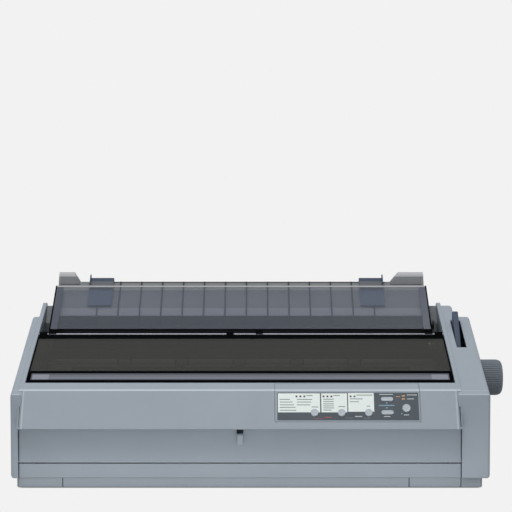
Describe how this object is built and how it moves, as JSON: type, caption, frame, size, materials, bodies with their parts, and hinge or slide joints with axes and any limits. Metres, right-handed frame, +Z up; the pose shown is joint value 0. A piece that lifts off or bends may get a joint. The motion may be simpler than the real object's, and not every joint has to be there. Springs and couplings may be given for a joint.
{
  "type": "dot matrix printer",
  "caption": "Wide-carriage impact printer with smoky hinged covers, control panel, ribbed paper guide, platen with side knob, tractors and a moving print head.",
  "frame": {"origin": "centre of the overall box, on the surface that the printer stands on", "axes": "+X towards the side with the platen knob, +Y towards the rear wall, +Z up"},
  "size_m": [0.639, 0.402, 0.256],
  "materials": {
    "case_plastic": "fine textured mould grain",
    "label_film": "satin film",
    "lamp": "clear tinted",
    "circuit_board": "soldered board",
    "button_plastic": "satin",
    "smoky_plastic": "smoky transparent plastic",
    "steel": "ground and plated",
    "guide_plastic": "satin",
    "slate_plastic": "satin",
    "platen_rubber": "ground",
    "gear_plastic": "natural acetal",
    "brass": "turned",
    "dark_plastic": "fine textured",
    "knob_plastic": "satin",
    "motor_steel": "black lacquer",
    "head_metal": "die cast"
  },
  "bodies": {
    "root": {"lower_case": "case_plastic", "upper_case": "case_plastic", "panel_housing": "case_plastic", "panel_label": "label_film", "indicator_lenses": "lamp", "control_board": "circuit_board", "hinge_rod": "steel", "left_frame": "steel", "right_frame": "steel", "paper_chute": "steel", "feed_motor": "motor_steel", "tractor_support_shaft": "steel", "carriage_shaft": "steel", "front_rail": "steel", "carriage_motor": "motor_steel", "timing_belt": "platen_rubber", "ribbon_cartridge": "dark_plastic", "main_board": "circuit_board", "power_supply": "circuit_board", "rear_fittings": "dark_plastic", "rubber_feet": "platen_rubber"},
    "platen": {"platen_roller": "platen_rubber", "platen_shaft": "steel", "platen_gear": "gear_plastic", "platen_knob": "knob_plastic"},
    "first_idler": {"first_idler_gear": "gear_plastic"},
    "second_idler": {"second_idler_gear": "gear_plastic"},
    "tractor_shaft": {"tractor_drive_shaft": "steel"},
    "carriage": {"carriage": "dark_plastic", "print_head": "head_metal", "ribbon_mask": "head_metal"},
    "key_left": {"key_left": "button_plastic"},
    "key_middle": {"key_middle": "button_plastic"},
    "key_right": {"key_right": "button_plastic"},
    "pause_button": {"pause_button": "button_plastic"},
    "feed_button_up": {"feed_button_up": "button_plastic"},
    "feed_button_down": {"feed_button_down": "button_plastic"},
    "front_cover": {"front_cover": "case_plastic"},
    "printer_cover": {"printer_cover": "smoky_plastic"},
    "rear_flap": {"rear_flap": "smoky_plastic"},
    "paper_guide": {"paper_guide": "guide_plastic"},
    "left_edge_guide": {"left_edge_guide": "slate_plastic"},
    "right_edge_guide": {"right_edge_guide": "slate_plastic"},
    "motor_pinion": {"motor_pinion": "brass"},
    "tension_unit": {"tension_unit": "dark_plastic"},
    "tension_rollers": {"tension_rollers": "gear_plastic"},
    "left_tractor": {"left_tractor": "dark_plastic"},
    "right_tractor": {"right_tractor": "dark_plastic"},
    "left_sprocket": {"left_sprocket": "gear_plastic"},
    "right_sprocket": {"right_sprocket": "gear_plastic"},
    "left_tractor_cover": {"left_tractor_cover": "dark_plastic"},
    "right_tractor_cover": {"right_tractor_cover": "dark_plastic"},
    "left_lock_lever": {"left_lock_lever": "slate_plastic"},
    "right_lock_lever": {"right_lock_lever": "slate_plastic"},
    "drive_pulley": {"drive_pulley": "brass"},
    "idler_pulley": {"idler_pulley": "gear_plastic"},
    "ribbon_knob": {"ribbon_knob": "knob_plastic"},
    "release_lever": {"release_lever": "slate_plastic"},
    "thickness_lever": {"thickness_lever": "slate_plastic"},
    "power_switch": {"power_switch": "dark_plastic"}
  },
  "joints": [
    {"name": "printer_cover_hinge", "type": "hinge", "parent": "root", "child": "printer_cover", "pos_m": [-0.02825, -0.021, 0.17846], "axis": [-1, 0, 0], "range_deg": [0, 55]},
    {"name": "rear_flap_hinge", "type": "hinge", "parent": "root", "child": "rear_flap", "pos_m": [-0.02825, -0.021, 0.17846], "axis": [1, 0, 0], "range_deg": [0, 70]},
    {"name": "front_cover_hinge", "type": "hinge", "parent": "root", "child": "front_cover", "pos_m": [-0.02825, -0.17775, 0.03445], "axis": [1, 0, 0], "range_deg": [0, 90]},
    {"name": "paper_guide_tilt", "type": "hinge", "parent": "root", "child": "paper_guide", "pos_m": [-0.02825, 0.025, 0.1845], "axis": [-1, 0, 0], "range_deg": [0, 18]},
    {"name": "left_edge_guide_slide", "type": "slide", "parent": "paper_guide", "child": "left_edge_guide", "axis": [1, 0, 0], "range_m": [-0.009, 0.16]},
    {"name": "right_edge_guide_slide", "type": "slide", "parent": "paper_guide", "child": "right_edge_guide", "axis": [-1, 0, 0], "range_m": [-0.005, 0.16]},
    {"name": "platen_turn", "type": "hinge", "parent": "root", "child": "platen", "pos_m": [-0.02825, -0.071, 0.127], "axis": [1, 0, 0], "continuous": true},
    {"name": "first_idler_turn", "type": "hinge", "parent": "root", "child": "first_idler", "pos_m": [-0.2995, -0.02789, 0.11819], "axis": [1, 0, 0], "continuous": true},
    {"name": "second_idler_turn", "type": "hinge", "parent": "root", "child": "second_idler", "pos_m": [-0.2995, 0.01994, 0.12218], "axis": [1, 0, 0], "continuous": true},
    {"name": "motor_pinion_turn", "type": "hinge", "parent": "root", "child": "motor_pinion", "pos_m": [-0.2995, -0.03327, 0.08766], "axis": [1, 0, 0], "continuous": true},
    {"name": "tractor_shaft_turn", "type": "hinge", "parent": "root", "child": "tractor_shaft", "pos_m": [-0.02825, 0.061, 0.138], "axis": [1, 0, 0], "continuous": true},
    {"name": "left_tractor_slide", "type": "slide", "parent": "root", "child": "left_tractor", "axis": [1, 0, 0], "range_m": [-0.02, 0.14]},
    {"name": "left_sprocket_turn", "type": "hinge", "parent": "left_tractor", "child": "left_sprocket", "pos_m": [-0.22225, 0.061, 0.138], "axis": [1, 0, 0], "continuous": true},
    {"name": "left_tractor_cover_hinge", "type": "hinge", "parent": "left_tractor", "child": "left_tractor_cover", "pos_m": [-0.22225, 0.085, 0.1584], "axis": [-1, 0, 0], "range_deg": [0, 50]},
    {"name": "left_lock_lever_hinge", "type": "hinge", "parent": "left_tractor", "child": "left_lock_lever", "pos_m": [-0.22225, 0.0985, 0.128], "axis": [-1, 0, 0], "range_deg": [0, 40]},
    {"name": "right_tractor_slide", "type": "slide", "parent": "root", "child": "right_tractor", "axis": [-1, 0, 0], "range_m": [-0.02, 0.14]},
    {"name": "right_sprocket_turn", "type": "hinge", "parent": "right_tractor", "child": "right_sprocket", "pos_m": [0.16575, 0.061, 0.138], "axis": [1, 0, 0], "continuous": true},
    {"name": "right_tractor_cover_hinge", "type": "hinge", "parent": "right_tractor", "child": "right_tractor_cover", "pos_m": [0.16575, 0.085, 0.1584], "axis": [-1, 0, 0], "range_deg": [0, 50]},
    {"name": "right_lock_lever_hinge", "type": "hinge", "parent": "right_tractor", "child": "right_lock_lever", "pos_m": [0.16575, 0.0985, 0.128], "axis": [-1, 0, 0], "range_deg": [0, 40]},
    {"name": "tension_unit_lift", "type": "hinge", "parent": "root", "child": "tension_unit", "pos_m": [-0.02825, -0.021, 0.147], "axis": [-1, 0, 0], "range_deg": [0, 10]},
    {"name": "tension_roller_turn", "type": "hinge", "parent": "tension_unit", "child": "tension_rollers", "pos_m": [-0.02825, -0.0617, 0.14448], "axis": [1, 0, 0], "continuous": true},
    {"name": "carriage_slide", "type": "slide", "parent": "root", "child": "carriage", "axis": [1, 0, 0], "range_m": [0, 0.368]},
    {"name": "drive_pulley_turn", "type": "hinge", "parent": "root", "child": "drive_pulley", "pos_m": [-0.2665, -0.137, 0.0935], "axis": [0, 0, 1], "range_deg": [-2990, 10]},
    {"name": "idler_pulley_turn", "type": "hinge", "parent": "root", "child": "idler_pulley", "pos_m": [0.2145, -0.137, 0.0935], "axis": [0, 0, 1], "range_deg": [-2990, 10]},
    {"name": "ribbon_knob_turn", "type": "hinge", "parent": "root", "child": "ribbon_knob", "pos_m": [-0.22325, -0.137, 0.12818], "axis": [0, -0.3453, 0.9385], "continuous": true},
    {"name": "release_lever_turn", "type": "hinge", "parent": "root", "child": "release_lever", "pos_m": [0.2675, 0.008, 0.101], "axis": [1, 0, 0], "range_deg": [0, 20]},
    {"name": "thickness_lever_turn", "type": "hinge", "parent": "root", "child": "thickness_lever", "pos_m": [0.2435, -0.103, 0.118], "axis": [1, 0, 0], "range_deg": [-10, 10]},
    {"name": "power_switch_rock", "type": "hinge", "parent": "root", "child": "power_switch", "pos_m": [-0.3145, 0.129, 0.062], "axis": [0, 0, 1], "range_deg": [-5, 5]},
    {"name": "key_left_press", "type": "slide", "parent": "root", "child": "key_left", "axis": [0, 0.8668, -0.4986], "range_m": [0, 0.0008], "stiffness_N_per_m": 400, "springref_m": -0.0005},
    {"name": "key_middle_press", "type": "slide", "parent": "root", "child": "key_middle", "axis": [0, 0.8668, -0.4986], "range_m": [0, 0.0008], "stiffness_N_per_m": 400, "springref_m": -0.0005},
    {"name": "key_right_press", "type": "slide", "parent": "root", "child": "key_right", "axis": [0, 0.8668, -0.4986], "range_m": [0, 0.0008], "stiffness_N_per_m": 400, "springref_m": -0.0005},
    {"name": "pause_button_press", "type": "slide", "parent": "root", "child": "pause_button", "axis": [0, 0.8668, -0.4986], "range_m": [0, 0.0008], "stiffness_N_per_m": 400, "springref_m": -0.0005},
    {"name": "feed_button_up_press", "type": "slide", "parent": "root", "child": "feed_button_up", "axis": [0, 0.8668, -0.4986], "range_m": [0, 0.0008], "stiffness_N_per_m": 400, "springref_m": -0.0005},
    {"name": "feed_button_down_press", "type": "slide", "parent": "root", "child": "feed_button_down", "axis": [0, 0.8668, -0.4986], "range_m": [0, 0.0008], "stiffness_N_per_m": 400, "springref_m": -0.0005}
  ],
  "couplings": [
    {"joint": "first_idler_turn", "follows": "platen_turn", "ratio": -0.83333},
    {"joint": "second_idler_turn", "follows": "platen_turn", "ratio": 0.83333},
    {"joint": "motor_pinion_turn", "follows": "platen_turn", "ratio": 2.8571},
    {"joint": "tractor_shaft_turn", "follows": "platen_turn", "ratio": -1},
    {"joint": "left_sprocket_turn", "follows": "platen_turn", "ratio": -1},
    {"joint": "right_sprocket_turn", "follows": "platen_turn", "ratio": -1},
    {"joint": "drive_pulley_turn", "follows": "carriage_slide", "rad_per_m": -140.85},
    {"joint": "idler_pulley_turn", "follows": "carriage_slide", "rad_per_m": -140.85}
  ]
}
